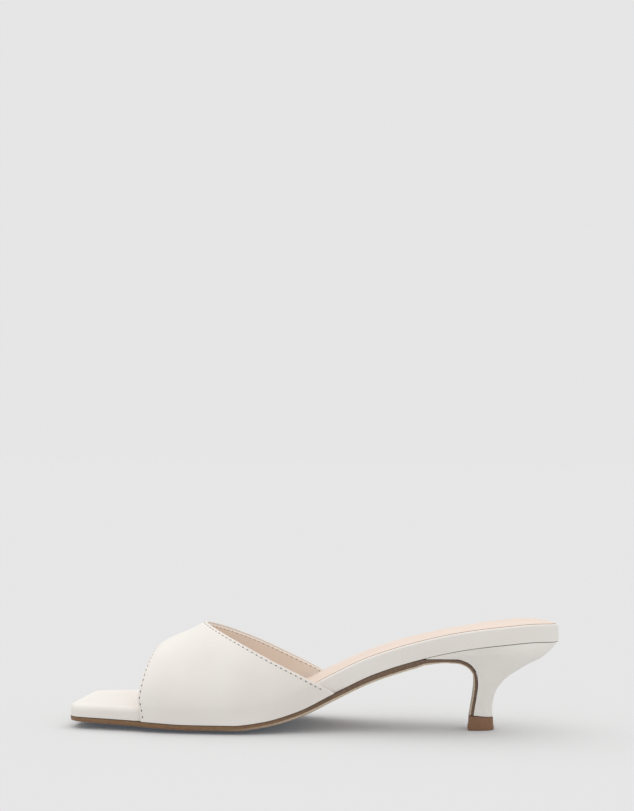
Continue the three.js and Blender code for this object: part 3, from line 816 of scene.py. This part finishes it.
# Heel: a moulded core covered with one piece of ivory leather, pulled round from the breast. Its seat is
# glued and nailed to the footbed, and the outsole closes its breast.
def heel():
    shares = np.sin(np.linspace(0, 1, 33) * math.pi / 2)
    rows = np.concatenate([[0], np.arange(0, len(heel_rows["nape"]) - 0.99, 0.2)])
    seat_x = seat_front + shares * (back + clearance - seat_front)
    seat_z = seat_at(seat_x) - clearance
    level = seat_z - (seat_z[0] + shares * (seat_z[-1] - seat_z[0]))
    rings = []
    for i, row in enumerate(rows):
        if i == 0:
            front, nape, bow = (seat_front, seat_z[0]), (back + clearance, seat_z[-1]), 1.0
        else:
            x, z = breast_at(row)
            x0, z0 = breast_at(max(row - 0.1, 0))
            x1, z1 = breast_at(min(row + 0.1, rows[-1]))
            run = np.array([x1 - x0, z1 - z0]) / np.hypot(x1 - x0, z1 - z0)
            final = eased(row, rows[-1] - 0.6, rows[-1])
            normal = np.array([run[1], -run[0]]) * (1 - final) + np.array([-1, 0]) * final
            front = x + normal[0] * clearance, z + normal[1] * clearance
            nape = back + heel_set_in * heel_line["nape"](row), heel_level(heel_line["nape_z"](row))
            bow = 1 - heel_line["stem"](row)
        xs = front[0] + shares * (nape[0] - front[0])
        zs = front[1] + shares * (nape[1] - front[1]) + bow * level
        inner = [(x, y, z) for x, y, z in zip(xs, heel_width(row, shares, 1), zs)]
        outer = [(x, -y, z) for x, y, z in zip(xs, heel_width(row, shares, -1), zs)][:-1]
        rings.append(inner + outer[::-1])
    return solid("heel_cover", rings)


heel_piece = heel()
# A lighter copy of the ivory leather: painted light for the floor's bright bounce onto the heel.
heel_piece.data.materials.append(leather("heel leather painted lighter", paint(243, 239, 233), paint(236, 231, 224),
                                         pore=0.0005))
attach(heel_piece, "root")
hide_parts("heel")


# Top lift: a moulded brown wearing piece, pinned under the tip of the heel and the end of the sole. It flares
# towards the floor.
def lift():
    shares = np.sin(np.linspace(0, 1, 25) * math.pi / 2)
    levels = [(lift_height, 0.0), (lift_height - 0.15, 0.12), (3.0, 0.3), (0.6, lift_flare),
              (0.3, lift_flare - 0.06), (0.1, lift_flare - 0.2), (0, lift_flare - 0.45)]
    rings = []
    for z, grow in levels:
        front, rear, width = tip_back + tip_length + grow, tip_back - grow, tip_width / 2 + grow
        xs = front + shares * (rear - front)
        ys = width * np.sqrt(np.clip(1 - shares**3, 0, None))
        slope = tip_slant * z / lift_height if z > 3 else 0
        inner = [(x, y, z + slope * (1 - share)) for x, y, share in zip(xs, ys, shares)]
        rings.append(inner + [(x, -y, z) for x, y, z in inner[:-1]][::-1])
    return solid("top_lift_rubber", rings)


def lift_rubber():
    """Hard brown rubber, matt from the mould, with a few darker grains in it."""
    made, start = empty_material("brown rubber")
    place = start.node("ShaderNodeTexCoord", output=3)
    grains = start.node("ShaderNodeTexNoise", {}, {"Vector": place, "Scale": 1500, "Detail": 3})
    cloud = start.node("ShaderNodeTexNoise", {}, {"Vector": place, "Scale": 140, "Detail": 2})
    tone = grains.ramp(0.45, 0.75) * 0.5 + cloud * 0.5
    bump = start.node("ShaderNodeBump", {}, {"Strength": 0.3, "Distance": 0.00006, "Height": grains})
    shader = start.node("ShaderNodeBsdfPrincipled", {}, {
        "Base Color": tone.blend(paint(140, 102, 74), paint(116, 83, 59)), "Roughness": cloud * 0.2 + 0.5,
        "Normal": bump})
    start.node("ShaderNodeOutputMaterial", {}, {"Surface": shader})
    return made


lift_piece = lift()
lift_piece.data.materials.append(lift_rubber())
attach(lift_piece, "root")
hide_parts("top_lift")


# The studio: a pale floor without end in a bright room that is a little lighter overhead, and one large soft
# light above, towards the toe and the far side. Floor and room meet in one tone, so no horizon shows.
def pale_floor():
    reach = 60
    mesh = bpy.data.meshes.new("pale_floor")
    corners = [(-reach, -reach, 0), (reach, -reach, 0), (reach, reach, 0), (-reach, reach, 0)]
    mesh.from_pydata(corners, [], [(0, 1, 2, 3)])
    made, start = empty_material("pale floor")
    # The floor glows faintly blue: painted light that lifts the shadows on it and keeps them from going warm.
    shader = start.node("ShaderNodeBsdfPrincipled", {}, {
        "Base Color": (0.65, 0.641, 0.63, 1), "Roughness": 1, "Specular IOR Level": 0,
        "Emission Color": (0.8, 1, 1.25, 1), "Emission Strength": 0.05})
    start.node("ShaderNodeOutputMaterial", {}, {"Surface": shader})
    mesh.materials.append(made)
    floor = bpy.data.objects.new("pale_floor", mesh)
    bpy.context.scene.collection.objects.link(floor)
    return floor


pale_floor()
room = bpy.data.worlds.new("room")
room.use_nodes = True
air = Shade(room.node_tree)
direction = air.node("ShaderNodeTexCoord")
height = air.node("ShaderNodeSeparateXYZ", {}, {0: direction}, 2)
tone = height.ramp(0.3, 0.9).blend((0.79, 0.79, 0.79, 1), (1.0, 1.0, 1.0, 1))
room.node_tree.links.new(tone.out, room.node_tree.nodes["Background"].inputs["Color"])
bpy.context.scene.world = room
overhead = bpy.data.lights.new("overhead", "SUN")
overhead.angle = math.radians(90)
overhead.energy = 0.8
overhead_light = bpy.data.objects.new("overhead", overhead)
bpy.context.scene.collection.objects.link(overhead_light)
overhead_light.location = (0.2, -0.35, 1.1)
overhead_light.rotation_euler = (-overhead_light.location).to_track_quat("-Z", "Y").to_euler()
bpy.context.scene.view_settings.view_transform = "Standard"
